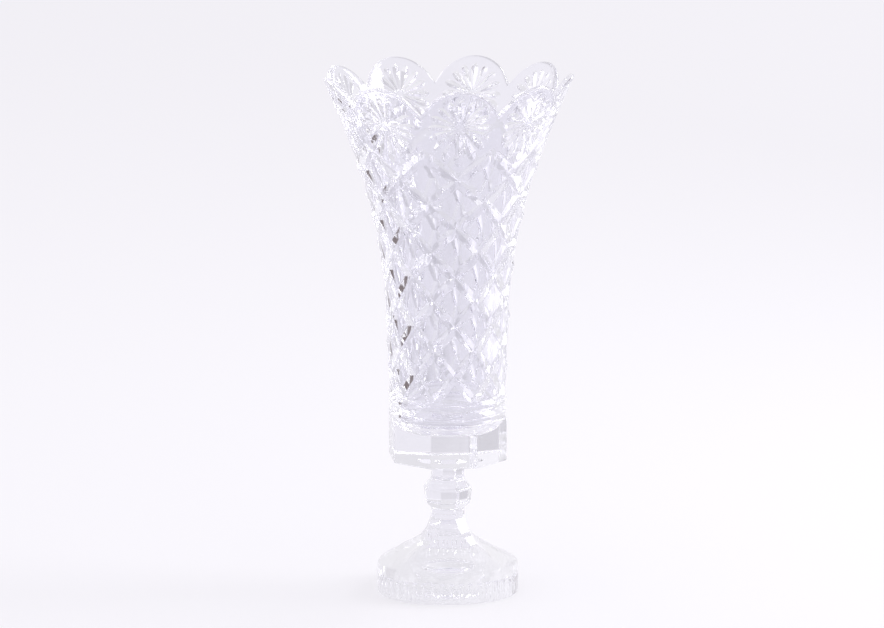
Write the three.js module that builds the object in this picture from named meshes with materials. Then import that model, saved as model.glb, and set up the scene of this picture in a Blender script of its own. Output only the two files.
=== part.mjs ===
// A footed glass vase in millimetres, +Z up, standing on z = 0 with its axis on Z.
// A flared bowl with a scalloped rim, stars and a diamond lattice is bonded to a faceted stem,
// and the stem is bonded to a four-sided bell foot with a ribbed skirt and a shallow hollow underneath.
import * as THREE from 'three';

const TAU = 2 * Math.PI;
const degrees = Math.PI / 180;

// Stack: each piece stands on the one below it.
const bondThickness = 0.3;
const bondInset = 0.8;
const bowlTurn = 3 * degrees;

// Foot: a four-sided bell with blunt ridges, on a nearly round skirt with ribs.
const footSides = 4;
const footHeight = 50.7;
const footSideRadius = 48.3;
const footCornerRadius = 50.6;
const footNeckRadius = 12;
const skirtHeight = 18.3;
const shoulderRound = 1.4;
const ridgeLift = 2;
const hipHeight = 27;
const hipSideRadius = 28;
const bellWaistHeight = 36.5;
const bellWaistSideRadius = 17;
const bellSteps = 9;
const ridgeCut = 2.6;
const ridgeCutLow = 27;
const ridgeCutHigh = 46;
const ribCount = 48;
const ribHeight = 14.6;
const ribNotchWidth = 3.2;
const ribNotchDepth = 1.5;
const ribNotchSlope = 2.2;
const ribNotchFootDepth = 0.5;
const hollowRadius = 17;
const hollowHeight = 3;
const hollowSteps = 4;
const hollowSegments = 40;

// Stem: an eight-sided knop between two necks.
const stemSides = 8;
const stemHeight = 40.7;
const stemTopRadius = 13.4;
const stemBottomRadius = 12;
const lowerNeckRadius = 11.7;
const lowerNeckHeight = 6.5;
const neckRadius = 11.8;
const neckHeight = 26.5;
const knopRadius = 17.2;
const knopHeight = 20.5;
const knopLowRadius = 16.2;
const knopLowHeight = 10.5;

// Bowl: its base block, its ring beads, its lattice and its star-cut crown.
const bowlHeight = 266;
const blockSides = 8;
const blockCornerRadius = 42;
const blockHeight = 30;
const beadCount = 2;
const beadSteps = 4;
const beadReach = 1.9;
const beadRootRadius = 38.4;
const latticeBottom = 46.5;
const latticeTop = 219;
const waistRadius = 40;
const wallTaper = 0.042;
const flareStart = 108;
const flarePower = 1.85;
const rimRadius = 86.5;
const starCount = 9;
const latticeRows = 10;
const diamondShare = 0.69;
const grooveDepth = 2.3;
const starRadius = 21.5;
const starHubRadius = 3.2;
const starRays = 16;
const starStretch = 0.4;
const starRayDepth = 2;
const starRayWidest = 0.72;
const scallopRadius = 28;
const scallopHalfAngle = 58 * degrees;
const scallopSteps = 10;
const rimValleyDrop = 18;
const bowlFloor = 20;
const floorRound = 14;
const floorSteps = 4;
const wallAtFloor = 7.2;
const wallAtRim = 4.6;
const innerRings = 8;
const roundSegments = 54;

// A closed surface, built ring by ring along a path that keeps the solid on its left:
// out along the underside, up the outside, over the top and down the inside.
class Skin {
  constructor() {
    this.positions = [];
    this.triangles = [];
  }

  // Adds a point by bearing (from the front, -Y, towards +X), radius and height.
  point(bearing, radius, height) {
    const id = this.positions.length / 3;
    this.positions.push(radius * Math.sin(bearing), -radius * Math.cos(bearing), height);
    return { id, turn: bearing };
  }

  ring(count, radius, height, firstBearing = 0) {
    const bearings = Array.from({ length: count }, (_, step) => firstBearing + (step * TAU) / count);
    return bearings.map((bearing) => this.point(bearing, radius, height));
  }

  triangle(a, b, c) {
    this.triangles.push(a.id, b.id, c.id);
  }

  quad(a, b, c, d) {
    this.triangle(a, b, c);
    this.triangle(a, c, d);
  }

  // Zips two closed rings of any counts together in order of their turns. A ring may be one point.
  bridge(from, to) {
    const fromSteps = from.length > 1 ? from.length : 0;
    const toSteps = to.length > 1 ? to.length : 0;
    const pick = (ring, step) => ring[step % ring.length];
    const nextTurn = (ring, step) => pick(ring, step + 1).turn + (step + 1 >= ring.length ? TAU : 0);
    let i = 0;
    let j = 0;
    while (i < fromSteps || j < toSteps) {
      const fromFirst = j === toSteps || (i < fromSteps && nextTurn(from, i) <= nextTurn(to, j));
      if (fromFirst) {
        this.triangle(pick(from, i), pick(from, i + 1), pick(to, j));
        i += 1;
      } else {
        this.triangle(pick(to, j + 1), pick(to, j), pick(from, i));
        j += 1;
      }
    }
  }

  bridgeAll(rings) {
    rings.slice(1).forEach((ring, step) => this.bridge(rings[step], ring));
  }

  geometry() {
    const geometry = new THREE.BufferGeometry();
    geometry.setAttribute('position', new THREE.Float32BufferAttribute(this.positions, 3));
    geometry.setIndex(this.triangles);
    geometry.computeVertexNormals();
    return geometry;
  }
}

const mix = (from, to, share) => from + (to - from) * share;

// The outer radius of the plain bowl wall, and its slope, at a height above the bowl's underside.
function wallRadius(height) {
  const taper = wallTaper * (height - latticeBottom);
  const flareGain = rimRadius - waistRadius - wallTaper * (bowlHeight - latticeBottom);
  const flareShare = Math.max(0, (height - flareStart) / (bowlHeight - flareStart));
  return waistRadius + taper + flareGain * flareShare ** flarePower;
}

function wallSlope(height) {
  const step = 0.5;
  return (wallRadius(height + step) - wallRadius(height - step)) / (2 * step);
}

function wallThickness(height) {
  return mix(wallAtFloor, wallAtRim, (height - bowlFloor) / (bowlHeight - bowlFloor));
}

// The star's centre lies one scallop radius below the rim's tip, measured along the wall.
const crownLean = Math.atan(wallSlope(bowlHeight - scallopRadius));
const starHeight = bowlHeight - scallopRadius * Math.cos(crownLean);

// A place on the crown, given across and up from a star's centre along the wall.
function crownPlace(star, across, up) {
  const height = starHeight + up * Math.cos(crownLean);
  const radius = wallRadius(height);
  return { bearing: (star * TAU) / starCount + across / radius, radius, height };
}

// The eight-sided base block with the ring beads above it, from the underside's centre up to the lattice.
function bowlBaseRings(skin) {
  const halfSide = Math.PI / blockSides;
  const rings = [
    [skin.point(0, 0, 0)],
    skin.ring(blockSides, blockCornerRadius, 0, halfSide),
    skin.ring(blockSides, blockCornerRadius, blockHeight, halfSide),
  ];
  const beadHeight = (latticeBottom - blockHeight) / beadCount;
  for (let step = 0; step < beadCount * beadSteps; step += 1) {
    const swell = Math.sin((Math.PI * (step % beadSteps)) / beadSteps);
    const height = blockHeight + (beadHeight * (step + 0.5)) / beadSteps;
    rings.push(skin.ring(roundSegments, beadRootRadius + beadReach * swell, height));
  }
  return rings;
}

// The lattice: crossing V grooves around flat diamonds. Columns run under the stars (even) and between
// them (odd), and rows count down from the top. Returns the ring below it and the edge above it.
function addLattice(skin) {
  const columns = 2 * starCount;
  const columnTurn = TAU / columns;
  const rowHeight = (latticeTop - latticeBottom) / latticeRows;
  const rowAt = (row) => latticeTop - row * rowHeight;
  const wrap = (column) => (column + columns) % columns;
  const nodes = new Map();
  const nodeAt = (column, row) => nodes.get(`${wrap(column)},${row}`);

  for (let column = 0; column < columns; column += 1) {
    for (let row = column % 2 === 0 ? 1 : 0; row <= latticeRows; row += 2) {
      const radius = wallRadius(rowAt(row)) - grooveDepth;
      nodes.set(`${column},${row}`, skin.point(column * columnTurn, radius, rowAt(row)));
    }
  }

  const lowerRing = [];
  for (let column = 0; column < columns; column += 1) {
    for (let row = column % 2 === 0 ? 2 : 1; row <= latticeRows; row += 2) {
      const cut = row === latticeRows;
      const corners = addDiamond(skin, column * columnTurn, rowAt(row), columnTurn, rowHeight, cut);
      const [right, top, left, bottom] = corners;
      skin.quad(nodeAt(column, row - 1), top, right, nodeAt(column + 1, row));
      skin.quad(nodeAt(column - 1, row), left, top, nodeAt(column, row - 1));
      if (cut) {
        lowerRing.push(left, right);
      } else {
        skin.quad(nodeAt(column, row + 1), bottom, left, nodeAt(column - 1, row));
        skin.quad(nodeAt(column + 1, row), right, bottom, nodeAt(column, row + 1));
      }
    }
    if (column % 2 === 1) {
      lowerRing.push(nodeAt(column, latticeRows));
    }
  }

  const edgeLift = (1 - diamondShare) * rowHeight;
  const upperEdge = [];
  for (let column = 0; column < columns; column += 1) {
    const height = rowAt(column % 2 === 0 ? 1 : 0) + edgeLift;
    upperEdge.push(skin.point(column * columnTurn, wallRadius(height), height));
  }
  for (let column = 0; column < columns; column += 1) {
    const rowHere = column % 2 === 0 ? 1 : 0;
    const next = wrap(column + 1);
    skin.quad(nodeAt(column, rowHere), nodeAt(next, 1 - rowHere), upperEdge[next], upperEdge[column]);
  }
  return { lowerRing, upperEdge };
}

// One raised diamond: a flat face across the wall's curve, cut off at its middle in the lowest row.
function addDiamond(skin, bearing, height, columnTurn, rowHeight, cut) {
  const halfTurn = diamondShare * columnTurn;
  const halfHeight = diamondShare * rowHeight;
  const faceRadius = (wallRadius(height) * (1 + Math.cos(halfTurn))) / 2;
  const faceLean = wallSlope(height) * halfHeight;
  const right = skin.point(bearing + halfTurn, faceRadius / Math.cos(halfTurn), height);
  const top = skin.point(bearing, faceRadius + faceLean, height + halfHeight);
  const left = skin.point(bearing - halfTurn, faceRadius / Math.cos(halfTurn), height);
  if (cut) {
    skin.triangle(right, top, left);
    return [right, top, left];
  }
  const bottom = skin.point(bearing, faceRadius - faceLean, height - halfHeight);
  skin.quad(right, top, left, bottom);
  return [right, top, left, bottom];
}

// One star: leaf-shaped V grooves around a plain hub, the lower ones longer. Returns its outer ring.
function addStar(skin, star) {
  const points = 2 * starRays;
  const starRing = (radius, rayDepth) => Array.from({ length: points }, (_, step) => {
    const turn = -Math.PI / 2 + (step * TAU) / points;
    const reach = radius * (1 + starStretch * Math.max(0, -Math.sin(turn)) ** 4);
    const place = crownPlace(star, reach * Math.cos(turn), reach * Math.sin(turn));
    const depth = step % 2 === 0 ? rayDepth : 0;
    return { ...skin.point(place.bearing, place.radius - depth, place.height), turn };
  });
  const centre = crownPlace(star, 0, 0);
  const outer = starRing(starRadius, 0);
  const widest = starRing(starRadius * starRayWidest, starRayDepth);
  const hub = starRing(starHubRadius, 0);
  skin.bridgeAll([outer, widest, hub, [skin.point(centre.bearing, centre.radius, centre.height)]]);
  return outer;
}

// The crown: a star in every scallop, with the plain wall around it. Returns the rim's outer and inner edges.
function addCrown(skin, upperEdge) {
  const valleyHeight = bowlHeight - rimValleyDrop;
  const seamBearing = (star) => ((star + 0.5) * TAU) / starCount;
  const seams = Array.from({ length: starCount }, (_, star) => {
    return skin.point(seamBearing(star), wallRadius(valleyHeight), valleyHeight);
  });
  const innerPoint = (place) => {
    return skin.point(place.bearing, place.radius - wallThickness(place.height), place.height);
  };
  const outerEdge = [];
  const innerEdge = [];

  for (let star = 0; star < starCount; star += 1) {
    const seamLeft = seams[(star + starCount - 1) % starCount];
    const seamRight = seams[star];
    const arc = [];
    for (let step = 0; step <= scallopSteps; step += 1) {
      const angle = mix(-scallopHalfAngle, scallopHalfAngle, step / scallopSteps);
      const place = crownPlace(star, scallopRadius * Math.sin(angle), scallopRadius * Math.cos(angle));
      arc.push(skin.point(place.bearing, place.radius, place.height));
      innerEdge.push(innerPoint(place));
    }
    const valley = { bearing: seamBearing(star), radius: wallRadius(valleyHeight), height: valleyHeight };
    innerEdge.push(innerPoint(valley));
    outerEdge.push(...arc, seamRight);

    const column = 2 * star;
    const below = [upperEdge[column], upperEdge[column + 1]];
    const last = upperEdge[(column + 2 * starCount - 1) % (2 * starCount)];
    const boundary = [...below, seamRight, ...arc.slice().reverse(), seamLeft, last];
    skin.bridge(boundary.map((point) => aroundStar(skin, star, point)), addStar(skin, star));
  }
  return { outerEdge, innerEdge };
}

// The same point with its turn counted around a star's centre, from straight below it.
function aroundStar(skin, star, point) {
  const [x, y, height] = skin.positions.slice(3 * point.id, 3 * point.id + 3);
  const offset = Math.atan2(x, -y) - (star * TAU) / starCount;
  const across = Math.atan2(Math.sin(offset), Math.cos(offset)) * Math.hypot(x, y);
  const up = (height - starHeight) / Math.cos(crownLean);
  const turn = Math.atan2(up, across);
  const turnFromBelow = turn < -Math.PI / 2 - 1e-9 ? turn + TAU : turn;
  return { id: point.id, turn: turnFromBelow };
}

// The smooth inside, from below the rim's valleys down to the middle of the rounded floor.
function bowlInnerRings(skin) {
  const rings = [];
  const topHeight = bowlHeight - rimValleyDrop - wallAtRim;
  const roundTop = bowlFloor + floorRound;
  for (let step = 0; step < innerRings; step += 1) {
    const height = mix(topHeight, roundTop, step / (innerRings - 1));
    rings.push(skin.ring(roundSegments, wallRadius(height) - wallThickness(height), height));
  }
  const sideRadius = wallRadius(roundTop) - wallThickness(roundTop);
  for (let step = 1; step <= floorSteps; step += 1) {
    const angle = ((Math.PI / 2) * step) / floorSteps;
    const radius = sideRadius - floorRound * (1 - Math.cos(angle));
    rings.push(skin.ring(roundSegments, radius, roundTop - floorRound * Math.sin(angle)));
  }
  rings.push([skin.point(0, 0, bowlFloor)]);
  return rings;
}

function bowlGeometry() {
  const skin = new Skin();
  const lattice = addLattice(skin);
  skin.bridgeAll([...bowlBaseRings(skin), lattice.lowerRing]);
  const crown = addCrown(skin, lattice.upperEdge);
  skin.bridgeAll([crown.outerEdge, crown.innerEdge, ...bowlInnerRings(skin)]);
  return skin.geometry();
}

// The stem: eight-sided rings from the lower neck, over the knop, to the pad under the bowl.
function stemGeometry() {
  const skin = new Skin();
  const halfSide = Math.PI / stemSides;
  const outline = [
    [stemBottomRadius, 0],
    [lowerNeckRadius, lowerNeckHeight],
    [knopLowRadius, knopLowHeight],
    [knopRadius, knopHeight],
    [neckRadius, neckHeight],
    [neckRadius, mix(neckHeight, stemHeight, 0.5)],
    [stemTopRadius, stemHeight],
  ];
  const rings = outline.map(([radius, height]) => skin.ring(stemSides, radius, height, halfSide));
  skin.bridgeAll([[skin.point(0, 0, 0)], ...rings, [skin.point(0, 0, stemHeight)]]);
  return skin.geometry();
}

// How much of a corner's legs its blunt ridge cuts off: more at the neck, which has eight equal sides.
function cornerCut(height) {
  const halfSide = Math.PI / stemSides;
  const neckCut = footNeckRadius * (Math.cos(halfSide) - Math.sin(halfSide));
  return mix(ridgeCut, neckCut, THREE.MathUtils.smoothstep(height, ridgeCutLow, ridgeCutHigh));
}

// A ring of four sides, each through a point on its middle, which may swell from its ends, with the corners
// cut off. Starts at the middle of the front.
function bellRing(skin, side, corner) {
  const cornerOut = corner.x / Math.SQRT2;
  const halfWidth = cornerOut - cornerCut(corner.y);
  const stops = [[0, 0], [0, 0.5], [0, 1], [1, -1], [1, -0.5]];
  const ring = [];
  for (let step = 0; step < footSides; step += 1) {
    for (const [ahead, share] of stops) {
      const across = share * halfWidth;
      const out = mix(side.x, cornerOut, share ** 2);
      const bearing = ((step + ahead) * TAU) / footSides + Math.atan2(across, out);
      ring.push(skin.point(bearing, Math.hypot(across, out), mix(side.y, corner.y, share ** 2)));
    }
  }
  return ring;
}

// The bell, from the top of the skirt over the shoulder, hip and waist to the neck.
function bellRings(skin) {
  const side = new THREE.Vector2(footSideRadius, skirtHeight);
  const corner = new THREE.Vector2(footCornerRadius, skirtHeight + ridgeLift);
  const over = new THREE.Vector2(-shoulderRound, shoulderRound);
  const upperStops = [
    new THREE.Vector2(hipSideRadius, hipHeight),
    new THREE.Vector2(bellWaistSideRadius, bellWaistHeight),
    new THREE.Vector2(footNeckRadius * Math.cos(Math.PI / stemSides), footHeight),
  ];
  const cornerStops = upperStops.map((stop) => new THREE.Vector2(stop.x * Math.SQRT2, stop.y));
  const sideLine = new THREE.SplineCurve([side.clone().add(over), ...upperStops]).getPoints(bellSteps);
  const cornerLine = new THREE.SplineCurve([corner.clone().add(over), ...cornerStops]).getPoints(bellSteps);
  const upperRings = sideLine.map((point, step) => bellRing(skin, point, cornerLine[step]));
  return [bellRing(skin, side, corner), ...upperRings];
}

// A ring of the skirt with V notches between its ribs, or with none at depth 0.
function skirtRing(skin, notchDepth, height) {
  const halfNotch = ribNotchWidth / 2 / footSideRadius;
  const ring = [];
  for (let rib = 0; rib < ribCount; rib += 1) {
    for (const [offset, depth] of [[-halfNotch, 0], [0, notchDepth], [halfNotch, 0]]) {
      const bearing = (rib * TAU) / ribCount + offset;
      const squareness = (1 - Math.cos(footSides * bearing)) / 2;
      const radius = mix(footSideRadius, footCornerRadius, squareness);
      ring.push(skin.point(bearing, radius - depth, height));
    }
  }
  return ring;
}

// The hollow under the foot: a quarter-ellipse dome, from its apex down to the ring that it stands on.
function hollowRings(skin) {
  const rings = [[skin.point(0, 0, hollowHeight)]];
  for (let step = 1; step <= hollowSteps; step += 1) {
    const angle = ((Math.PI / 2) * step) / hollowSteps;
    rings.push(skin.ring(hollowSegments, hollowRadius * Math.sin(angle), hollowHeight * Math.cos(angle)));
  }
  return rings;
}

function footGeometry() {
  const skin = new Skin();
  const skirt = [
    skirtRing(skin, ribNotchFootDepth, 0),
    skirtRing(skin, ribNotchDepth, ribHeight - ribNotchSlope),
    skirtRing(skin, 0, ribHeight),
  ];
  skin.bridgeAll([...hollowRings(skin), ...skirt, ...bellRings(skin), [skin.point(0, 0, footHeight)]]);
  return skin.geometry();
}

// A bond: a round film as wide as the narrower of the two faces that it joins, less an inset.
function bondGeometry(...cornerRadii) {
  const radius = Math.min(...cornerRadii) * Math.cos(Math.PI / stemSides) - bondInset;
  const film = new THREE.CylinderGeometry(radius, radius, bondThickness, hollowSegments);
  return film.rotateX(Math.PI / 2).translate(0, 0, bondThickness / 2);
}

function piece(name, geometry, material, base, turn = 0) {
  const mesh = new THREE.Mesh(geometry, material);
  mesh.name = name;
  mesh.position.z = base;
  mesh.rotation.z = turn;
  return mesh;
}

const clearGlass = { color: 0xf1f0f6, roughness: 0.03, metalness: 0, transparent: true, opacity: 0.4 };
const clearBond = { color: 0xf6f5f8, roughness: 0.1, metalness: 0, transparent: true, opacity: 0.3 };

const footBondBase = footHeight;
const stemBase = footBondBase + bondThickness;
const bowlBondBase = stemBase + stemHeight;
const bowlBase = bowlBondBase + bondThickness;

const vase = new THREE.Group();
vase.add(
  piece('foot', footGeometry(), new THREE.MeshStandardMaterial(clearGlass), 0),
  piece(
    'foot_bond',
    bondGeometry(footNeckRadius, stemBottomRadius),
    new THREE.MeshStandardMaterial(clearBond),
    footBondBase,
  ),
  piece('stem_knop', stemGeometry(), new THREE.MeshStandardMaterial(clearGlass), stemBase, bowlTurn),
  piece(
    'bowl_bond',
    bondGeometry(stemTopRadius, blockCornerRadius),
    new THREE.MeshStandardMaterial(clearBond),
    bowlBondBase,
  ),
  piece('bowl', bowlGeometry(), new THREE.MeshStandardMaterial(clearGlass), bowlBase, bowlTurn),
);

export default vase;
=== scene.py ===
from math import atan, atan2, cos, hypot, pi, radians, sin, sqrt

import bpy
from mathutils import Matrix, Vector


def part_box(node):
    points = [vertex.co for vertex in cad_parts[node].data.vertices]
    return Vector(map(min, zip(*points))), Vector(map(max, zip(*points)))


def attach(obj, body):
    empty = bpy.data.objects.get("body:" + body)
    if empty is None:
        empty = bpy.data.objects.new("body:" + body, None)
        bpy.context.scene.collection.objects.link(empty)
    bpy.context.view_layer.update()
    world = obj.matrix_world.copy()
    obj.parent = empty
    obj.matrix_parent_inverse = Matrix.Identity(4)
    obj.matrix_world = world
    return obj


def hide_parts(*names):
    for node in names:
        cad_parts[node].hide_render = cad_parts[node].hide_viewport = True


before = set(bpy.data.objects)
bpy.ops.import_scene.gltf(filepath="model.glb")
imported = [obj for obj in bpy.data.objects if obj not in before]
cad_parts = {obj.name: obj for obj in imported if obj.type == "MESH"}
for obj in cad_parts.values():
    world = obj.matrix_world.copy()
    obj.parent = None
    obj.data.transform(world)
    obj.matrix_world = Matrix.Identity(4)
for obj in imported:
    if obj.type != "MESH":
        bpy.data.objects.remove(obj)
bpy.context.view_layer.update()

mm = 0.001
TAU = 2 * pi

# Heights and outer sizes of the pieces, from the frame
foot_low, foot_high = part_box("foot")
stem_low, stem_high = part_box("stem_knop")
bowl_low, bowl_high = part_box("bowl")
foot_height = foot_high[2] - foot_low[2]
stem_height = stem_high[2] - stem_low[2]
bowl_height = bowl_high[2] - bowl_low[2]
foot_side_radius = foot_high[1]
foot_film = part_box("foot_bond")
bowl_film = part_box("bowl_bond")
foot_film_radius = foot_film[1][0]
bowl_film_radius = bowl_film[1][0]

# Shared by several pieces: the films' segments and drawn-in rim, and where a rounded edge has its middle
film_segments = 48
film_waist = 0.3
edge_middle = 0.3

# Foot: a four-sided bell with blunt ridges, on a nearly round skirt with ribs
foot_sides = 4
foot_corner_radius = foot_side_radius + 2.3 * mm
foot_neck_radius = 12 * mm
foot_edge_round = 0.6 * mm
skirt_height = 18.3 * mm
shoulder_round = 1.4 * mm
ridge_lift = 2 * mm
hip_height = 27 * mm
hip_side_radius = 28 * mm
bell_waist_height = 36.5 * mm
bell_waist_side_radius = 17 * mm
bell_steps = 10
ridge_cut = 2.6 * mm
ridge_cut_low = 27 * mm
ridge_cut_high = 46 * mm
rib_count = 48
rib_height = 14.6 * mm
rib_notch_width = 3.2 * mm
rib_notch_depth = 1.5 * mm
rib_notch_end = 2.2 * mm
rib_notch_foot_share = 0.3
notch_profile = ((-0.5, 0), (-0.3, 0.7), (0, 1), (0.3, 0.7), (0.5, 0))
notch_rise_shares = (0.3, 0.55, 0.8)
notch_end_shares = (0, 0.4, 0.7, 0.9, 1)
hollow_radius = 17 * mm
hollow_height = 3 * mm
hollow_steps = 12
hollow_segments = 96

# Stem: an eight-sided knop between two necks
sides = 8
half_side = pi / sides
stem_top_radius = 13.4 * mm
stem_bottom_radius = 12 * mm
lower_neck_radius = 11.7 * mm
lower_neck_height = 6.5 * mm
neck_radius = 11.8 * mm
neck_height = 26.5 * mm
knop_radius = 17.2 * mm
knop_height = 20.5 * mm
knop_low_radius = 16.2 * mm
knop_low_height = 10.5 * mm
facet_round = 0.5 * mm
stem_edge_round = 1.2 * mm

# Bowl: a block, two ring beads, a flared lattice wall, and a star in each scallop of the rim
bowl_turn = radians(3)
block_corner_radius = 42 * mm
block_height = 30 * mm
block_edge_round = 1.4 * mm
block_ledge_round = 0.3 * mm
block_fillet = 1.6 * mm
bead_count = 2
bead_steps = 10
bead_reach = 1.9 * mm
bead_root_radius = 38.4 * mm
lattice_bottom = 46.5 * mm
lattice_top = 219 * mm
waist_radius = 40 * mm
wall_taper = 0.042
flare_start = 108 * mm
flare_power = 1.85
rim_radius = 86.5 * mm
star_count = 9
lattice_rows = 10
lattice_steps = 5
diamond_share = 0.69
diamond_edge_round = 0.7 * mm
flank_limit = 0.45
crown_edge_lift = 1.3 * diamond_edge_round
groove_depth = 2.3 * mm
star_radius = 21.5 * mm
star_hub_radius = 2.4 * mm
star_rays = 16
star_stretch = 0.4
star_stretch_power = 4
ray_depth = 1.9 * mm
ray_half_width = 2.5 * mm
ray_widest = 0.78
ray_taper_power = 0.9
ray_share_limits = (0.16, 0.88)
ray_rise_length = 0.5 * star_radius
ray_rise_power = 0.7
ray_fall_length = 0.16 * star_radius
ray_fall_power = 0.6
star_ring_shares = (1, 0.97, 0.92, 0.85, 0.78, 0.68, 0.56, 0.44, 0.32, 0.21)
surround_shares = (0.72, 0.36)
scallop_radius = 28 * mm
scallop_half_angle = radians(58)
scallop_steps = 20
rim_valley_drop = 18 * mm
rim_settle_drop = 14 * mm
rim_round = 2.2 * mm
rim_steps = 8
bowl_floor = 20 * mm
floor_round = 14 * mm
floor_flat_radius = 9 * mm
floor_steps = 10
wall_at_floor = 7.2 * mm
wall_at_rim = 4.6 * mm
inner_steps = 24

# Camera, fitted to the photograph's perspective
camera_turn = radians(-3.5)
camera_distance = 3.7
camera_height = 0.916
camera_pitch = radians(11.0735)
camera_lens = 225.4
camera_shift = -0.0064
camera_sensor = 36
camera_reach = 100

# Glass and adhesive: tints and roughness vary between two ends, and waves are heights
glass_ior = 1.56
glass_tints = (0.87, 0.865, 0.91), (0.905, 0.9, 0.94)
glass_roughness = (0.005, 0.025)
glass_wave = 0.06 * mm
adhesive_ior = 1.5
adhesive_tints = (0.97, 0.965, 0.98), (1, 1, 1)
adhesive_roughness = (0.01, 0.05)
adhesive_wave = 0.05 * mm
streak_scale, streak_detail = 45, 3
haze_range = (0.45, 0.75)
wave_scale, wave_detail = 130, 1

# Edges sharper than this stay sharp, and large faces set the shading
sharp_angle = radians(28)
flat_face_weight = 90

# Studio floor: its colour, the shares of it that glow by themselves, and how the glow varies over distances
floor_half_size = 12
floor_colour = (0.84, 0.825, 0.865)
glow_colour = (0.945, 0.93, 0.975)
glow_share = 0.66
glow_share_in_glass = 0.6
glow_sides = (0.98, 1.02)
sides_range = (-1.2, 1.2)
glow_far_left = 0.8
far_left_range = (-0.9, -0.25)
glow_far_right = 1.3
far_right_range = (0.3, 0.8)
glow_front = 0.75
front_range = (0.12, 0.4)
glow_patch = 0.75
patch_azimuth = -152
patch_distance = 0.6
patch_fade = (0.15, 0.42)

# Studio room: its light on the left, on the right and around the camera, over ranges of direction
room_colour = (0.99, 0.98, 1)
room_sides = (1.06, 0.88)
room_sides_range = (-0.7, 0.3)
room_front = 0.15
front_edge = (0.95, 0.985)

# Cards around the vase, and how far light is followed
lamp_colour = (1, 1, 1)
flag_colour = (0.18, 0.14, 0.14)
light_bounces = 32

# Turns closer than this count as equal
turn_slack = 1e-4


def mix(start, end, share):
    return start + (end - start) * share


def place(bearing, radius, height):
    """A point by its bearing from the front, -Y, towards +X."""
    return Vector((radius * sin(bearing), -radius * cos(bearing), height))


class Skin:
    """A closed surface, built ring by ring along a path that keeps the solid on its left:
    out along the underside, up the outside, over the top and down the inside."""

    def __init__(self):
        self.points = []
        self.faces = []
        self.contact_faces = []

    def add(self, position):
        self.points.append(Vector(position))
        return len(self.points) - 1

    def ring(self, positions):
        return [self.add(position) for position in positions]

    def face(self, corners):
        self.faces.append(tuple(corners))

    def band(self, lower, upper, closed=True):
        """Quads between two rings of the same count."""
        count = len(lower)
        for step in range(count if closed else count - 1):
            following = (step + 1) % count
            self.face((lower[step], lower[following], upper[following], upper[step]))

    def bands(self, rings):
        for lower, upper in zip(rings, rings[1:]):
            self.band(lower, upper)

    def axis_turn(self, point):
        x, y, _ = self.points[point]
        return atan2(x, -y)

    def zip_rings(self, lower, upper, turn_of=None):
        """Triangles between two rings of any counts, in order of their turns."""
        turn_of = turn_of or self.axis_turn
        lower_turns = unwrapped([turn_of(point) for point in lower])
        upper_turns = unwrapped([turn_of(point) for point in upper])
        shift = round((lower_turns[0] - upper_turns[0]) / TAU) * TAU
        upper_turns = [turn + shift for turn in upper_turns]
        lower_at = upper_at = 0
        while lower_at < len(lower) or upper_at < len(upper):
            here, there = lower[lower_at % len(lower)], upper[upper_at % len(upper)]
            if upper_at == len(upper):
                lower_first = True
            elif lower_at == len(lower):
                lower_first = False
            else:
                lower_first = lower_turns[lower_at + 1] <= upper_turns[upper_at + 1]
            if lower_first:
                lower_at += 1
                self.face((here, lower[lower_at % len(lower)], there))
            else:
                upper_at += 1
                self.face((upper[upper_at % len(upper)], there, here))

    def fan(self, ring, tip):
        for step, point in enumerate(ring):
            self.face((point, ring[(step + 1) % len(ring)], tip))

    def contact_disc(self, ring, tip):
        """A fan that touches a bond film, so light passes it without bending."""
        first = len(self.faces)
        self.fan(ring, tip)
        self.contact_faces.extend(range(first, len(self.faces)))


def unwrapped(turns):
    """The same turns, always rising, closed by the first one a full turn later."""
    rising = [turns[0]]
    for turn in turns[1:]:
        while turn < rising[-1] - pi:
            turn += TAU
        rising.append(turn)
    return rising + [rising[0] + TAU]


def round_ring(skin, count, radius, height):
    return skin.ring(place(TAU * step / count, radius, height) for step in range(count))


def octagon_ring(skin, flat_radius, fillet, height):
    """An eight-sided ring with rounded corners, its sides facing bearing 0 and each 45 degrees on."""
    fillet_steps = 4
    side_steps = 4
    positions = []
    for side in range(sides):
        corner = (2 * side + 1) * half_side
        centre = place(corner, (flat_radius - fillet) / cos(half_side), height)
        arc = [
            centre + place(corner + half_side * (2 * step / fillet_steps - 1), fillet, 0)
            for step in range(fillet_steps + 1)
        ]
        next_corner = corner + 2 * half_side
        next_centre = place(next_corner, (flat_radius - fillet) / cos(half_side), height)
        side_end = next_centre + place(corner + half_side, fillet, 0)
        positions += arc
        positions += [arc[-1].lerp(side_end, step / side_steps) for step in range(1, side_steps)]
    return skin.ring(positions)


# Bowl


def wall_radius(height):
    """The outer radius of the plain wall at a height above the bowl's underside."""
    taper = wall_taper * (height - lattice_bottom)
    flare_gain = rim_radius - waist_radius - wall_taper * (bowl_height - lattice_bottom)
    flare_share = max(0, (height - flare_start) / (bowl_height - flare_start))
    return waist_radius + taper + flare_gain * flare_share**flare_power


def wall_slope(height):
    step = 0.5 * mm
    return (wall_radius(height + step) - wall_radius(height - step)) / (2 * step)


def wall_thickness(height):
    return mix(wall_at_floor, wall_at_rim, (height - bowl_floor) / (bowl_height - bowl_floor))


def inner_radius(height):
    return wall_radius(height) - wall_thickness(height)


crown_lean = atan(wall_slope(bowl_height - scallop_radius))
star_height = bowl_height - scallop_radius * cos(crown_lean)


def crown_place(star, across, up, depth=0):
    """A place on the crown, across and up from a star's centre along the wall, and in from its surface."""
    height = star_height + up * cos(crown_lean)
    radius = wall_radius(height)
    return place(TAU * star / star_count + across / radius, radius - depth, height)


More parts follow.
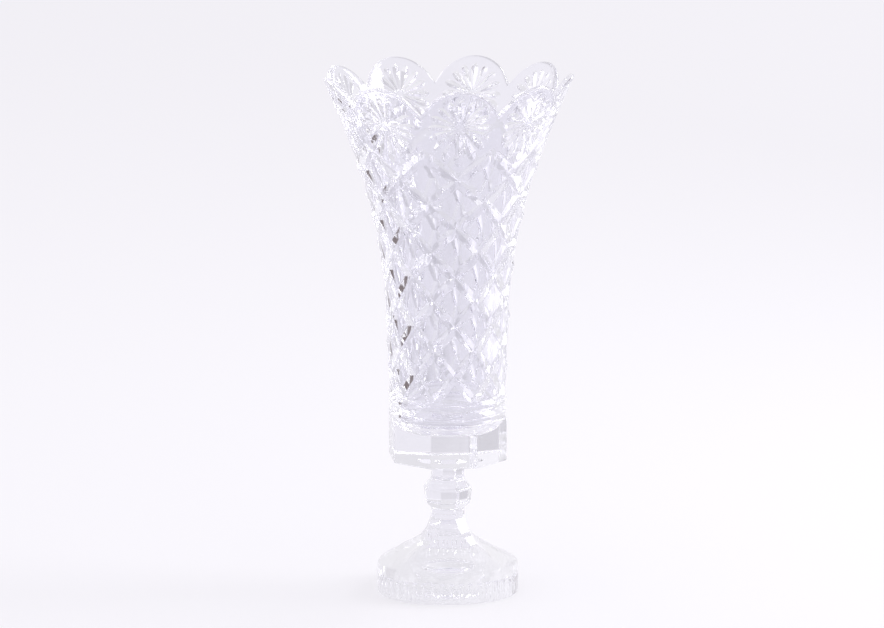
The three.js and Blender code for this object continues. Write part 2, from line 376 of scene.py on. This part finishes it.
def add_bowl_base(skin, lattice_ring):
    """The eight-sided block and the ring beads above it, up to the lattice."""
    block_flat = block_corner_radius * cos(half_side)
    film_ring = round_ring(skin, film_segments, bowl_film_radius, 0)
    corner_steps = 4
    block = []
    for step in range(corner_steps + 1):
        angle = pi / 2 * step / corner_steps
        inset = block_edge_round * (1 - sin(angle))
        height = block_edge_round * (1 - cos(angle))
        block.append(octagon_ring(skin, block_flat - inset, block_fillet, height))
    block.append(octagon_ring(skin, block_flat, block_fillet, block_height - block_ledge_round))
    block.append(octagon_ring(skin, block_flat - block_ledge_round, block_fillet, block_height))
    underside_centre = skin.add((0, 0, 0))
    skin.contact_disc([*reversed(film_ring)], underside_centre)
    skin.zip_rings(film_ring, block[0])
    skin.bands(block)

    bearings = [skin.axis_turn(point) for point in lattice_ring]
    bead_height = (lattice_bottom - block_height) / bead_count
    beads = []
    for step in range(bead_count * bead_steps):
        swell = sin(pi * (step % bead_steps) / bead_steps)
        radius = bead_root_radius + bead_reach * swell
        height = block_height + bead_height * step / bead_steps
        beads.append(skin.ring(place(bearing, radius, height) for bearing in bearings))
    skin.zip_rings(block[-1], beads[0])
    skin.bands([*beads, lattice_ring])


def rounded_edge(skin, groove_point, edge, inner):
    """Two points of a rounded edge: on its flank towards a groove, and between that and an inner point."""
    down = skin.points[groove_point] - edge
    flank = edge + down * min(flank_limit, diamond_edge_round / down.length)
    return flank, (flank + 2 * edge + inner) / 4


def add_lattice(skin):
    """Crossing V grooves around flat diamonds. Columns run under the stars (even) and between them (odd),
    and rows count down from the top. Returns the ring below it and the edge above it."""
    columns = 2 * star_count
    column_turn = TAU / columns
    row_height = (lattice_top - lattice_bottom) / lattice_rows
    crossings = {}
    grooves = {}

    def row_at(row):
        return lattice_top - row * row_height

    def groove_place(column, row):
        height = row_at(row)
        return place(column * column_turn, wall_radius(height) - groove_depth, height)

    def crossing(column, row):
        key = (column % columns, row)
        if key not in crossings:
            crossings[key] = skin.add(groove_place(column, row))
        return crossings[key]

    def groove(start, end):
        """The groove from one crossing to the next, shared by the diamonds on both sides of it."""
        key = tuple((column % columns, row) for column, row in (start, end))
        if key[::-1] in grooves:
            return grooves[key[::-1]][::-1]
        if key not in grooves:
            between = [
                skin.add(groove_place(*[mix(a, b, step / lattice_steps) for a, b in zip(start, end)]))
                for step in range(1, lattice_steps)
            ]
            grooves[key] = [crossing(*start), *between, crossing(*end)]
        return grooves[key]

    def diamond(column, row):
        """One raised diamond with rounded edges; in the lowest row, its upper half.
        Returns the points along the cut, from left to right."""
        cut = row == lattice_rows
        bearing, height = column * column_turn, row_at(row)
        half_turn = diamond_share * column_turn
        half_height = diamond_share * row_height
        face_radius = wall_radius(height) * (1 + cos(half_turn)) / 2
        face_lean = wall_slope(height) * half_height
        corners = [
            place(bearing + half_turn, face_radius / cos(half_turn), height),
            place(bearing, face_radius + face_lean, height + half_height),
            place(bearing - half_turn, face_radius / cos(half_turn), height),
            place(bearing, face_radius - face_lean, height - half_height),
        ]
        around = [(column + 1, row), (column, row - 1), (column - 1, row), (column, row + 1)]
        edges = 2 if cut else 4
        outer, outline = [], []
        for edge in range(edges):
            following = (edge + 1) % 4
            outer += groove(around[edge], around[following])[:-1]
            outline += [
                corners[edge].lerp(corners[following], step / lattice_steps) for step in range(lattice_steps)
            ]
        if cut:
            outer.append(crossing(*around[edges]))
            outline.append(corners[edges])
        centre = (corners[0] + corners[2]) / 2
        half_width = (corners[0] - corners[2]).length / 2
        face_half = (corners[1] - centre).length
        inner_circle = half_width * face_half / hypot(half_width, face_half)
        flank, rounding, face = [], [], []
        for point, groove_point in zip(outline, outer):
            face.append(centre.lerp(point, 1 - diamond_edge_round / inner_circle))
            below, between = rounded_edge(skin, groove_point, point, face[-1])
            flank.append(below)
            rounding.append(between)
        rings = [outer, skin.ring(flank), skin.ring(rounding), skin.ring(face)]
        for lower, upper in zip(rings, rings[1:]):
            skin.band(lower, upper, closed=not cut)
        if not cut:
            skin.face(rings[-1])
            return []
        cut_steps = 6
        cut_points = skin.ring(face[-1].lerp(face[0], step / cut_steps) for step in range(1, cut_steps))
        skin.face(rings[-1] + cut_points)
        left = [ring[-1] for ring in rings]
        right = [ring[0] for ring in rings[:0:-1]]
        return left + cut_points + right

    lower_ring = []
    for column in range(columns):
        for row in range(2 - column % 2, lattice_rows + 1, 2):
            lower_ring += diamond(column, row)

    def top_row(column):
        return 1 - column % 2

    edge_lift = (1 - diamond_share) * row_height
    groove_ring, flank, rounding, crown = [], [], [], []
    for column in range(columns):
        rows = top_row(column), top_row(column + 1)
        stretch = groove((column, rows[0]), (column + 1, rows[1]))[:-1]
        groove_ring += stretch
        for step, groove_point in enumerate(stretch):
            share = step / lattice_steps
            bearing = (column + share) * column_turn
            height = row_at(mix(*rows, share)) + edge_lift
            point = place(bearing, wall_radius(height), height)
            crown_height = height + crown_edge_lift
            crown.append(place(bearing, wall_radius(crown_height), crown_height))
            below, between = rounded_edge(skin, groove_point, point, crown[-1])
            flank.append(below)
            rounding.append(between)
    rings = [groove_ring, skin.ring(flank), skin.ring(rounding), skin.ring(crown)]
    skin.bands(rings)
    return lower_ring, rings[-1]


def rim_ring(skin, share):
    """A ring over the rounded rim, from its outer edge at share 0 to its inner edge at share 1."""
    angle = pi * share
    rise = rim_round * (sin(angle) - 1)
    positions = []
    for star in range(star_count):
        for step in range(scallop_steps + 1):
            turn = mix(-scallop_half_angle, scallop_half_angle, step / scallop_steps)
            reach = scallop_radius + rise
            positions.append((star, reach * sin(turn), reach * cos(turn)))
        valley_up = (bowl_height - rim_valley_drop + rise * cos(crown_lean) - star_height) / cos(crown_lean)
        valley_radius = wall_radius(star_height + valley_up * cos(crown_lean))
        positions.append((star, pi / star_count * valley_radius, valley_up))
    through = (1 - cos(angle)) / 2
    ring = []
    for star, across, up in positions:
        height = star_height + up * cos(crown_lean)
        ring.append(skin.add(crown_place(star, across, up, through * wall_thickness(height))))
    return ring


def ray_half_angle(radius):
    """Half the angle that one ray of a star takes at a radius: a leaf, widest near its outer end."""
    widest = star_radius * ray_widest
    if radius < widest:
        half_width = ray_half_width * (radius / widest) ** ray_taper_power
    else:
        half_width = ray_half_width * sqrt(max(0, 1 - ((radius - widest) / (star_radius - widest)) ** 2))
    share = half_width / radius / (pi / star_rays)
    narrowest, broadest = ray_share_limits
    return pi / star_rays * min(broadest, max(narrowest, share))


def ray_floor(radius):
    """The depth of a ray along its middle."""
    rise = min(1, (radius - star_hub_radius) / ray_rise_length)
    fall = min(1, (star_radius - radius) / ray_fall_length)
    return ray_depth * max(0, rise) ** ray_rise_power * max(0, fall) ** ray_fall_power


def lower_reach(turn):
    """How much longer a star's ray is than an upper one: the rays that point down reach further."""
    return 1 + star_stretch * max(0, -sin(turn)) ** star_stretch_power


def add_star(skin, star, boundary):
    """The crown's wall around one star, from its boundary in to the star's centre."""

    def flat(point):
        x, y, height = skin.points[point]
        offset = atan2(x, -y) - TAU * star / star_count
        across = atan2(sin(offset), cos(offset)) * hypot(x, y)
        return across, (height - star_height) / cos(crown_lean)

    def star_turn(point):
        across, up = flat(point)
        turn = atan2(up, across)
        return turn if turn > -pi / 2 - turn_slack else turn + TAU

    def ray_turns(radius):
        spread = ray_half_angle(radius)
        turns = []
        for ray in range(star_rays):
            middle = -pi / 2 + TAU * ray / star_rays
            following = middle + TAU / star_rays
            turns += [middle, middle + spread, middle + pi / star_rays, following - spread]
        return turns

    def star_place(radius, turn, depth=0):
        reach = radius * lower_reach(turn)
        return crown_place(star, reach * cos(turn), reach * sin(turn), depth)

    edge = [flat(point) for point in boundary]
    edge_turns = unwrapped([star_turn(point) for point in boundary])

    def edge_distance(turn):
        """How far the boundary is from the star's centre in a direction."""
        step = max(index for index in range(len(edge)) if edge_turns[index] <= turn + turn_slack)
        (ax, ay), (bx, by) = edge[step], edge[(step + 1) % len(edge)]
        cross_ab = ax * by - ay * bx
        return cross_ab / (cos(turn) * (by - ay) - sin(turn) * (bx - ax))

    outer_turns = ray_turns(star_radius)
    distances = [edge_distance(turn) for turn in outer_turns]
    rings = []
    for share in surround_shares:
        rings.append(skin.ring(
            star_place(mix(star_radius, distance / lower_reach(turn), share), turn)
            for distance, turn in zip(distances, outer_turns)
        ))
    for share in star_ring_shares:
        radius = star_radius * share
        depths = (ray_floor(radius), 0, 0, 0)
        rings.append(skin.ring(
            star_place(radius, turn, depths[index % 4]) for index, turn in enumerate(ray_turns(radius))
        ))
    hub = round_hub(skin, star)
    skin.zip_rings(boundary, rings[0], star_turn)
    skin.bands([*rings, hub])
    skin.fan(hub, skin.add(crown_place(star, 0, 0)))


def round_hub(skin, star):
    """The small plain ring in the middle of a star, with as many points as the rings of its rays."""
    count = 4 * star_rays
    turns = [-pi / 2 + TAU * step / count for step in range(count)]
    return skin.ring(
        crown_place(star, star_hub_radius * cos(turn), star_hub_radius * sin(turn)) for turn in turns
    )


def add_crown(skin, crown_edge):
    """A star in every scallop, then the rounded rim. Returns the rim's inner edge."""
    rim = [rim_ring(skin, step / rim_steps) for step in range(rim_steps + 1)]
    outer_edge = rim[0]
    per_star = scallop_steps + 2
    seam_steps = 5
    seams = []
    for star in range(star_count):
        foot = skin.points[crown_edge[(2 * star + 1) * lattice_steps]]
        valley = skin.points[outer_edge[star * per_star + per_star - 1]]
        bearing = TAU * (star + 0.5) / star_count
        heights = [mix(foot.z, valley.z, step / seam_steps) for step in range(1, seam_steps)]
        seams.append(skin.ring(place(bearing, wall_radius(height), height) for height in heights))
    for star in range(star_count):
        start = 2 * star * lattice_steps
        count = len(crown_edge)
        arc = outer_edge[star * per_star:star * per_star + scallop_steps + 1]
        right_valley = outer_edge[star * per_star + per_star - 1]
        left_valley = outer_edge[star * per_star - 1]
        right_edge = [crown_edge[(start + step) % count] for step in range(lattice_steps + 1)]
        left_edge = [crown_edge[(start - step) % count] for step in range(lattice_steps, 0, -1)]
        right_side = right_edge + seams[star] + [right_valley]
        left_side = [left_valley] + seams[star - 1][::-1] + left_edge
        add_star(skin, star, right_side + arc[::-1] + left_side)
    skin.bands(rim)
    return rim[-1]


def add_bowl_inside(skin, rim_edge):
    """The smooth inside, from the rim's inner edge down to the middle of the rounded floor."""
    bearings = [skin.axis_turn(point) for point in rim_edge]
    rim_heights = [skin.points[point].z for point in rim_edge]
    level = bowl_height - rim_valley_drop - rim_settle_drop
    round_top = bowl_floor + floor_round
    rings = [rim_edge]
    settle_steps = 5
    for step in range(1, settle_steps + 1):
        heights = [mix(height, level, step / settle_steps) for height in rim_heights]
        rings.append(skin.ring(
            place(bearing, inner_radius(height), height) for bearing, height in zip(bearings, heights)
        ))

    def level_ring(radius, height):
        return skin.ring(place(bearing, radius, height) for bearing in bearings)

    for step in range(1, inner_steps + 1):
        height = mix(level, round_top, step / inner_steps)
        rings.append(level_ring(inner_radius(height), height))
    side_radius = inner_radius(round_top)
    for step in range(1, floor_steps + 1):
        angle = pi / 2 * step / floor_steps
        radius = side_radius - floor_round * (1 - cos(angle))
        rings.append(level_ring(radius, round_top - floor_round * sin(angle)))
    rings.append(level_ring(floor_flat_radius, bowl_floor))
    skin.bands(rings)
    skin.fan(rings[-1], skin.add((0, 0, bowl_floor)))


def bowl_skin():
    skin = Skin()
    lower_ring, crown_edge = add_lattice(skin)
    add_bowl_base(skin, lower_ring)
    rim_edge = add_crown(skin, crown_edge)
    add_bowl_inside(skin, rim_edge)
    return skin


# Stem


def stem_skin():
    """Eight flat sides from the lower neck over the knop to the pad under the bowl, with rounded ridges."""
    skin = Skin()
    outline = [
        (stem_bottom_radius, 0),
        (lower_neck_radius, lower_neck_height),
        (knop_low_radius, knop_low_height),
        (knop_radius, knop_height),
        (neck_radius, neck_height),
        (neck_radius, mix(neck_height, stem_height, 0.5)),
        (stem_top_radius, stem_height),
    ]
    profile = [outline[0]]
    for before, here, after in zip(outline, outline[1:], outline[2:]):
        profile += rounded_corner(before, here, after, stem_edge_round)
    profile.append(outline[-1])
    rings = [octagon_ring(skin, radius * cos(half_side), facet_round, height) for radius, height in profile]
    bottom_film = round_ring(skin, film_segments, foot_film_radius, 0)
    top_film = round_ring(skin, film_segments, bowl_film_radius, stem_height)
    skin.contact_disc([*reversed(bottom_film)], skin.add((0, 0, 0)))
    skin.zip_rings(bottom_film, rings[0])
    skin.bands(rings)
    skin.zip_rings(rings[-1], top_film)
    skin.contact_disc(top_film, skin.add((0, 0, stem_height)))
    return skin


def rounded_corner(before, here, after, size):
    """Three points round a corner of an outline."""
    before, here, after = Vector(before), Vector(here), Vector(after)
    start = here + (before - here).normalized() * min(size, (before - here).length / 3)
    end = here + (after - here).normalized() * min(size, (after - here).length / 3)
    return [tuple(start), tuple((start + 2 * here + end) / 4), tuple(end)]


# Foot


def bell_line(stops):
    """A smooth line of the bell through its stops, from the shoulder up to the neck."""
    stops = [stops[0], *stops, stops[-1]]
    points = []
    for before, start, end, after in zip(stops, stops[1:], stops[2:], stops[3:]):
        start_lean, end_lean = (end - before) / 2, (after - start) / 2
        for step in range(bell_steps):
            share = step / bell_steps
            bend = (2 * start - 2 * end + start_lean + end_lean) * share**3
            curve = (3 * end - 3 * start - 2 * start_lean - end_lean) * share**2
            points.append(bend + curve + start_lean * share + start)
    return points + [stops[-1]]


def corner_cut(height):
    """How much of a corner's legs its blunt ridge cuts off: more at the neck, which has eight equal sides."""
    neck_side = foot_neck_radius * cos(half_side)
    neck_cut = neck_side - foot_neck_radius * sin(half_side)
    share = min(1, max(0, (height - ridge_cut_low) / (ridge_cut_high - ridge_cut_low)))
    return mix(ridge_cut, neck_cut, share * share * (3 - 2 * share))


def bell_ring(skin, side_point, corner_point):
    """A ring of four sides, each through a point on its middle, which may swell from its ends, with the
    corners cut off. Starts at the middle of the front."""
    corner_out = corner_point.x / sqrt(2)
    half_width = corner_out - corner_cut(corner_point.y)
    half_shares = (0, 0.2, 0.4, 0.6, 0.8, 1)
    stops = [(0, share) for share in half_shares] + [(1, -share) for share in half_shares[:0:-1]]
    positions = []
    for side in range(foot_sides):
        for ahead, share in stops:
            across = share * half_width
            out = mix(side_point.x, corner_out, share**2)
            height = mix(side_point.y, corner_point.y, share**2)
            bearing = TAU * (side + ahead) / foot_sides + atan2(across, out)
            positions.append(place(bearing, hypot(across, out), height))
    return skin.ring(positions)


def skirt_ring(skin, height, notch_share, inset=0):
    """A ring of the skirt, with rounded notches between its ribs."""
    positions = []
    for rib in range(rib_count):
        for across, depth in notch_profile:
            bearing = TAU * rib / rib_count + across * rib_notch_width / foot_side_radius
            squareness = (1 - cos(foot_sides * bearing)) / 2
            radius = mix(foot_side_radius, foot_corner_radius, squareness)
            notch = rib_notch_depth * notch_share * depth
            positions.append(place(bearing, radius - inset - notch, height))
    return skin.ring(positions)


def bell_rings(skin):
    """The bell from the top of the skirt over its rounded shoulder to the neck."""
    side = Vector((foot_side_radius, skirt_height))
    corner = Vector((foot_corner_radius, skirt_height + ridge_lift))
    over = Vector((-shoulder_round, shoulder_round))
    rounding = Vector((-edge_middle * shoulder_round, (1 - edge_middle) * shoulder_round))
    upper_stops = [
        Vector((hip_side_radius, hip_height)),
        Vector((bell_waist_side_radius, bell_waist_height)),
        Vector((foot_neck_radius * cos(half_side), foot_height)),
    ]
    corner_stops = [Vector((stop.x * sqrt(2), stop.y)) for stop in upper_stops]
    side_line = bell_line([side + over, *upper_stops])
    corner_line = bell_line([corner + over, *corner_stops])
    rings = [bell_ring(skin, side, corner), bell_ring(skin, side + rounding, corner + rounding)]
    return rings + [bell_ring(skin, *points) for points in zip(side_line, corner_line)]


def skirt_rings(skin):
    """The ribbed skirt from its lower edge up. The notches deepen upwards and end round."""
    notch_top = rib_height - rib_notch_end
    foot_share = rib_notch_foot_share
    rings = [
        skirt_ring(skin, 0, foot_share, foot_edge_round),
        skirt_ring(skin, edge_middle * foot_edge_round, foot_share, edge_middle * foot_edge_round),
        skirt_ring(skin, foot_edge_round, foot_share),
    ]
    for share in notch_rise_shares:
        rings.append(skirt_ring(skin, notch_top * share, mix(foot_share, 1, share**2)))
    for share in notch_end_shares:
        rings.append(skirt_ring(skin, notch_top + rib_notch_end * share, sqrt(1 - share**2)))
    return rings


def foot_skin():
    """A domed hollow below, the skirt and the bell around it, and the face for the bond on top."""
    skin = Skin()
    dome = []
    for step in range(1, hollow_steps + 1):
        angle = pi / 2 * step / hollow_steps
        dome.append(round_ring(skin, hollow_segments, hollow_radius * sin(angle), hollow_height * cos(angle)))
    skin.fan([*reversed(dome[0])], skin.add((0, 0, hollow_height)))
    skin.bands(dome)
    skirt = skirt_rings(skin)
    skin.zip_rings(dome[-1], skirt[0])
    skin.bands(skirt)
    bell = bell_rings(skin)
    skin.zip_rings(skirt[-1], bell[0])
    skin.bands(bell)
    film_ring = round_ring(skin, film_segments, foot_film_radius, foot_height)
    skin.zip_rings(bell[-1], film_ring)
    skin.contact_disc(film_ring, skin.add((0, 0, foot_height)))
    return skin


def film_skin(radius, thickness):
    """A bond film: a thin disc whose rim is drawn in a little between the faces that it joins."""
    skin = Skin()
    bottom = round_ring(skin, film_segments, radius, 0)
    middle = round_ring(skin, film_segments, radius - film_waist * thickness, thickness / 2)
    top = round_ring(skin, film_segments, radius, thickness)
    skin.contact_disc([*reversed(bottom)], skin.add((0, 0, 0)))
    skin.bands([bottom, middle, top])
    skin.contact_disc(top, skin.add((0, 0, thickness)))
    return skin


# Materials


def new_material(name):
    material = bpy.data.materials.new(name)
    material.use_nodes = True
    tree = material.node_tree
    tree.nodes.clear()
    output = tree.nodes.new("ShaderNodeOutputMaterial")
    return material, tree, output


def add_noise(tree, coordinates, scale, detail):
    noise = tree.nodes.new("ShaderNodeTexNoise")
    noise.inputs["Scale"].default_value = scale
    noise.inputs["Detail"].default_value = detail
    tree.links.new(coordinates.outputs["Object"], noise.inputs["Vector"])
    return noise


def map_range(tree, value, source, target, interpolation="SMOOTHSTEP"):
    """A value carried from one range to another, and held at its ends."""
    node = tree.nodes.new("ShaderNodeMapRange")
    node.interpolation_type = interpolation
    names = ("From Min", "From Max", "To Min", "To Max")
    for name, limit in zip(names, (*source, *target)):
        node.inputs[name].default_value = limit
    tree.links.new(value, node.inputs["Value"])
    return node.outputs["Result"]


def clear_material(name, ior, tints, roughness, wave_height):
    """Clear glass or adhesive: a faint tint and haze that vary, and the slow waves of a pressed surface."""
    material, tree, output = new_material(name)
    shader = tree.nodes.new("ShaderNodeBsdfPrincipled")
    shader.inputs["Transmission Weight"].default_value = 1
    shader.inputs["IOR"].default_value = ior
    coordinates = tree.nodes.new("ShaderNodeTexCoord")
    streaks = add_noise(tree, coordinates, streak_scale, streak_detail)
    ramp = tree.nodes.new("ShaderNodeValToRGB")
    for stop, tint in zip(ramp.color_ramp.elements, tints):
        stop.color = (*tint, 1)
    tree.links.new(streaks.outputs["Fac"], ramp.inputs["Fac"])
    tree.links.new(ramp.outputs["Color"], shader.inputs["Base Color"])
    haze = map_range(tree, streaks.outputs["Fac"], haze_range, roughness, "LINEAR")
    tree.links.new(haze, shader.inputs["Roughness"])
    waves = add_noise(tree, coordinates, wave_scale, wave_detail)
    bump = tree.nodes.new("ShaderNodeBump")
    bump.inputs["Strength"].default_value = 1
    bump.inputs["Distance"].default_value = wave_height
    tree.links.new(waves.outputs["Fac"], bump.inputs["Height"])
    tree.links.new(bump.outputs["Normal"], shader.inputs["Normal"])
    tree.links.new(shader.outputs["BSDF"], output.inputs["Surface"])
    return material


def contact_material():
    """The faces that a bond joins: the film matches the glass, so light passes straight through."""
    material, tree, output = new_material("bonded_face")
    clear = tree.nodes.new("ShaderNodeBsdfTransparent")
    tree.links.new(clear.outputs["BSDF"], output.inputs["Surface"])
    return material


glass = clear_material("clear_glass", glass_ior, glass_tints, glass_roughness, glass_wave)
adhesive = clear_material("clear_adhesive", adhesive_ior, adhesive_tints, adhesive_roughness, adhesive_wave)
bonded_face = contact_material()

# Pieces


def make_piece(name, skin, node, material, base, turn=0):
    """The visible piece for a solid of the frame, on its base height and turned about the axis."""
    mesh = bpy.data.meshes.new(name)
    mesh.from_pydata([tuple(point) for point in skin.points], [], skin.faces)
    mesh.transform(Matrix.Translation((0, 0, base)) @ Matrix.Rotation(turn, 4, "Z"))
    mesh.materials.append(material)
    mesh.materials.append(bonded_face)
    for index in skin.contact_faces:
        mesh.polygons[index].material_index = 1
    mesh.shade_smooth()
    mesh.set_sharp_from_angle(angle=sharp_angle)
    piece = bpy.data.objects.new(name, mesh)
    bpy.context.scene.collection.objects.link(piece)
    normals = piece.modifiers.new("flat faces stay flat", "WEIGHTED_NORMAL")
    normals.keep_sharp = True
    normals.weight = flat_face_weight
    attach(piece, "root")
    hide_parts(node)


def make_bond(name, node, film):
    """The film that fills the box of a bond."""
    (_, _, base), (radius, _, top) = film
    make_piece(name, film_skin(radius, top - base), node, adhesive, base)


make_piece("vase_foot", foot_skin(), "foot", glass, foot_low[2])
make_bond("vase_foot_bond", "foot_bond", foot_film)
make_piece("vase_stem", stem_skin(), "stem_knop", glass, stem_low[2], bowl_turn)
make_bond("vase_bowl_bond", "bowl_bond", bowl_film)
make_piece("vase_bowl", bowl_skin(), "bowl", glass, bowl_low[2], bowl_turn)

# Studio


def link_value(tree, operation, first, second):
    """A math node on two values or sockets."""
    node = tree.nodes.new("ShaderNodeMath")
    node.operation = operation
    for socket, value in zip(node.inputs, (first, second)):
        if isinstance(value, bpy.types.NodeSocket):
            tree.links.new(value, socket)
        else:
            socket.default_value = value
    return node.outputs["Value"]


def vector_node(tree, operation, vector, other=(0, 0, 0)):
    """A vector math node on a socket and, where the operation takes one, a fixed vector."""
    node = tree.nodes.new("ShaderNodeVectorMath")
    node.operation = operation
    node.inputs[1].default_value = other
    tree.links.new(vector, node.inputs[0])
    return node


def side_share(tree, vector, bearing):
    """How far a vector reaches towards a bearing."""
    return vector_node(tree, "DOT_PRODUCT", vector, place(bearing, 1, 0)).outputs["Value"]


def studio_bearing(azimuth):
    """A bearing counted from the camera's side of the vase, positive to its right."""
    return camera_turn + radians(azimuth)


def link_stage(name, mesh, material):
    mesh.materials.append(material)
    thing = bpy.data.objects.new(name, mesh)
    bpy.context.scene.collection.objects.link(thing)
    return thing


def unless_camera(tree, path, value):
    """The value, or 1 where the camera looks straight at it."""
    camera_ray = path.outputs["Is Camera Ray"]
    elsewhere = link_value(tree, "MULTIPLY", value, link_value(tree, "SUBTRACT", 1, camera_ray))
    return link_value(tree, "ADD", elsewhere, camera_ray)


def glow_in_glass(tree, position):
    """The floor's glow as the glass sees it: dimmer to the far left, in a patch behind left and towards the
    camera, and brighter to the far right."""
    to_right = side_share(tree, position, studio_bearing(90))
    to_camera = side_share(tree, position, studio_bearing(0))
    direction = vector_node(tree, "NORMALIZE", position).outputs["Vector"]
    facing = side_share(tree, direction, studio_bearing(0))
    patch_centre = place(studio_bearing(patch_azimuth), patch_distance, 0)
    from_patch = vector_node(tree, "DISTANCE", position, patch_centre).outputs["Value"]
    lost_in_front = link_value(
        tree,
        "MULTIPLY",
        map_range(tree, to_camera, front_range, (0, 1 - glow_front)),
        map_range(tree, facing, front_edge, (0, 1)),
    )
    glow = link_value(tree, "SUBTRACT", 1, lost_in_front)
    shares = (
        map_range(tree, to_right, far_right_range, (1, glow_far_right)),
        map_range(tree, to_right, far_left_range, (glow_far_left, 1)),
        map_range(tree, from_patch, patch_fade, (glow_patch, 1)),
    )
    for share in shares:
        glow = link_value(tree, "MULTIPLY", glow, share)
    return glow


def floor_material():
    """A pale floor, part lit and part glowing. The camera sees a nearly even glow, and the vase's shadow."""
    material, tree, output = new_material("studio_floor")
    lit = tree.nodes.new("ShaderNodeBsdfDiffuse")
    lit.inputs["Color"].default_value = (*floor_colour, 1)
    glow = tree.nodes.new("ShaderNodeEmission")
    glow.inputs["Color"].default_value = (*glow_colour, 1)
    position = tree.nodes.new("ShaderNodeTexCoord").outputs["Object"]
    path = tree.nodes.new("ShaderNodeLightPath")
    to_right = side_share(tree, position, studio_bearing(90))
    even = map_range(tree, to_right, sides_range, glow_sides)
    strength = link_value(tree, "MULTIPLY", even, unless_camera(tree, path, glow_in_glass(tree, position)))
    tree.links.new(strength, glow.inputs["Strength"])
    through = link_value(tree, "ADD", path.outputs["Is Transmission Ray"], path.outputs["Is Glossy Ray"])
    share = link_value(
        tree,
        "ADD",
        link_value(tree, "MULTIPLY", through, glow_share_in_glass),
        link_value(tree, "MULTIPLY", path.outputs["Is Camera Ray"], glow_share),
    )
    blend = tree.nodes.new("ShaderNodeMixShader")
    tree.links.new(share, blend.inputs["Fac"])
    tree.links.new(lit.outputs["BSDF"], blend.inputs[1])
    tree.links.new(glow.outputs["Emission"], blend.inputs[2])
    tree.links.new(blend.outputs["Shader"], output.inputs["Surface"])
    return material


def make_floor():
    half = floor_half_size
    mesh = bpy.data.meshes.new("studio_floor")
    corners = [(-half, -half, 0), (half, -half, 0), (half, half, 0), (-half, half, 0)]
    mesh.from_pydata(corners, [], [(0, 1, 2, 3)])
    link_stage("studio_floor", mesh, floor_material())


def make_card(name, azimuth, distance, width, low, high, colour, strength, lights_floor=True):
    """An upright card that faces the vase: a soft lamp or a dark flag. The camera doesn't see it, it casts no
    shadow, and it may leave the floor unlit."""
    material, tree, output = new_material(name)
    glow = tree.nodes.new("ShaderNodeEmission")
    glow.inputs["Color"].default_value = (*colour, 1)
    glow.inputs["Strength"].default_value = strength
    tree.links.new(glow.outputs["Emission"], output.inputs["Surface"])
    bearing = studio_bearing(azimuth)
    middle = place(bearing, distance, 0)
    along = place(bearing + pi / 2, width / 2, 0)
    up_low, up_high = Vector((0, 0, low)), Vector((0, 0, high))
    left, right = middle - along, middle + along
    corners = [left + up_low, right + up_low, right + up_high, left + up_high]
    mesh = bpy.data.meshes.new(name)
    mesh.from_pydata([tuple(corner) for corner in corners], [], [(0, 1, 2, 3)])
    card = link_stage(name, mesh, material)
    card.visible_camera = False
    card.visible_diffuse = lights_floor
    card.visible_shadow = False


def make_world():
    """A white room. All but the camera see it brighter on the left, and dim around the camera."""
    world = bpy.data.worlds.new("studio")
    bpy.context.scene.world = world
    world.use_nodes = True
    tree = world.node_tree
    direction = tree.nodes.new("ShaderNodeTexCoord").outputs["Generated"]
    to_right = side_share(tree, direction, studio_bearing(90))
    facing = side_share(tree, direction, studio_bearing(0))
    sideways = map_range(tree, to_right, room_sides_range, room_sides)
    strength = link_value(tree, "MULTIPLY", sideways, map_range(tree, facing, front_edge, (1, room_front)))
    path = tree.nodes.new("ShaderNodeLightPath")
    background = tree.nodes["Background"]
    background.inputs["Color"].default_value = (*room_colour, 1)
    tree.links.new(unless_camera(tree, path, strength), background.inputs["Strength"])


def make_camera():
    data = bpy.data.cameras.new("camera")
    data.sensor_fit = "HORIZONTAL"
    data.sensor_width = camera_sensor
    data.lens = camera_lens
    data.shift_x = camera_shift
    data.clip_end = camera_reach
    camera = bpy.data.objects.new("camera", data)
    camera.location = place(camera_turn, camera_distance, camera_height)
    camera.rotation_euler = (pi / 2 - camera_pitch, 0, camera_turn)
    bpy.context.scene.collection.objects.link(camera)
    bpy.context.scene.camera = camera


make_floor()
make_world()
make_card(
    "dark_flag",
    azimuth=-115,
    distance=0.75,
    width=0.4,
    low=0.115,
    high=0.29,
    colour=flag_colour,
    strength=1,
    lights_floor=False,
)
make_card(
    "low_right_lamp",
    azimuth=100,
    distance=0.62,
    width=0.4,
    low=0,
    high=0.09,
    colour=lamp_colour,
    strength=3.5,
    lights_floor=False,
)
make_card(
    "right_lamp",
    azimuth=95,
    distance=1.2,
    width=0.6,
    low=0.4,
    high=1.6,
    colour=lamp_colour,
    strength=6,
)
make_card(
    "back_right_lamp",
    azimuth=130,
    distance=1.5,
    width=0.7,
    low=1.15,
    high=1.65,
    colour=lamp_colour,
    strength=9,
)
make_camera()

scene = bpy.context.scene
scene.view_settings.view_transform = "Standard"
scene.cycles.max_bounces = light_bounces
scene.cycles.glossy_bounces = light_bounces
scene.cycles.transmission_bounces = light_bounces
scene.cycles.transparent_max_bounces = light_bounces
